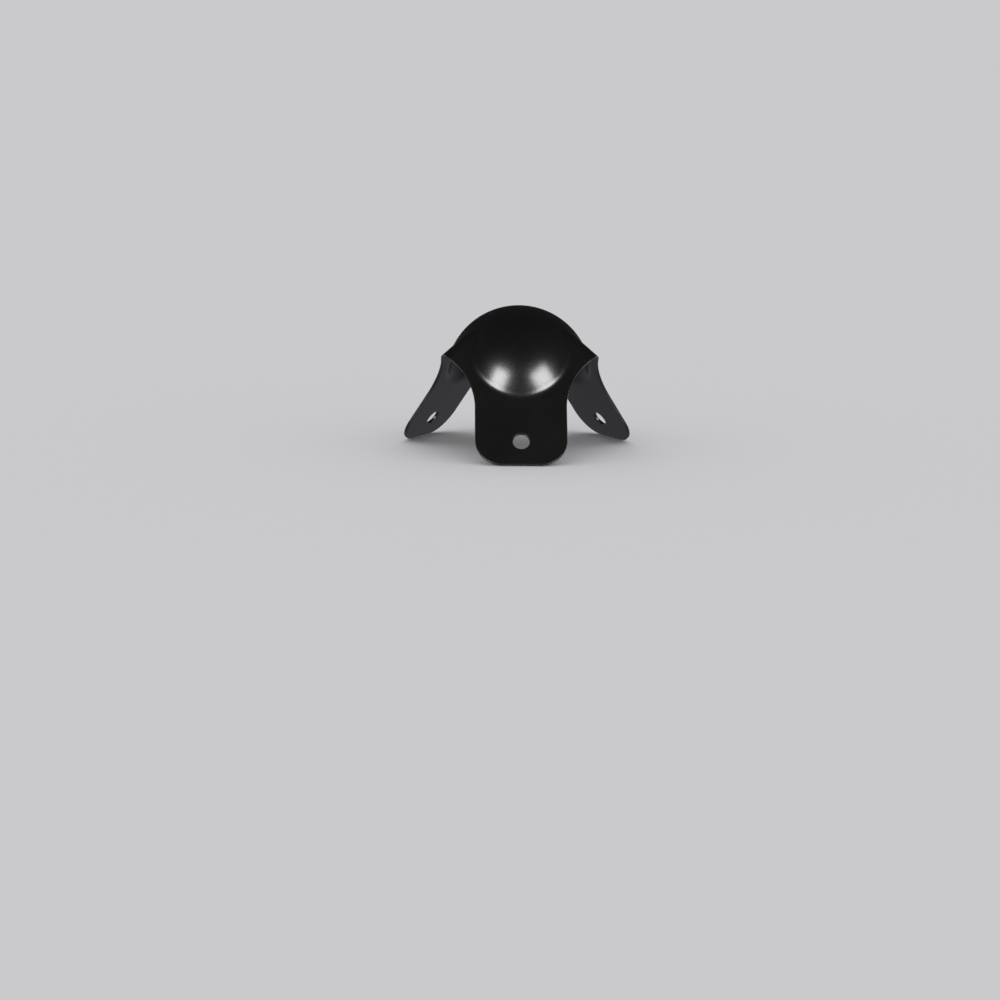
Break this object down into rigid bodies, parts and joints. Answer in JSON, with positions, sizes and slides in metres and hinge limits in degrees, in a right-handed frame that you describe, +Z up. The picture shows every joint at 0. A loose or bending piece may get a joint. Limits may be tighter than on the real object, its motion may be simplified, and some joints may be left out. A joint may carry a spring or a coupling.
{
  "type": "ball corner protector",
  "caption": "Pressed steel ball corner for a cabinet or case: a ball over the corner, flat legs at right angles with screw holes, and short rounded ridges between them.",
  "frame": {"origin": "middle of the footprint, on the surface that the three leg tips stand on", "axes": "+Z up along the cube diagonal, out of the ball; -Y towards the front leg; +X across it, towards the right leg"},
  "size_m": [0.0766, 0.0688, 0.0475],
  "materials": {
    "painted_steel": "satin to semi-gloss black paint on pressed steel sheet"
  },
  "bodies": {
    "root": {"corner_shell": "painted_steel"}
  },
  "joints": []
}
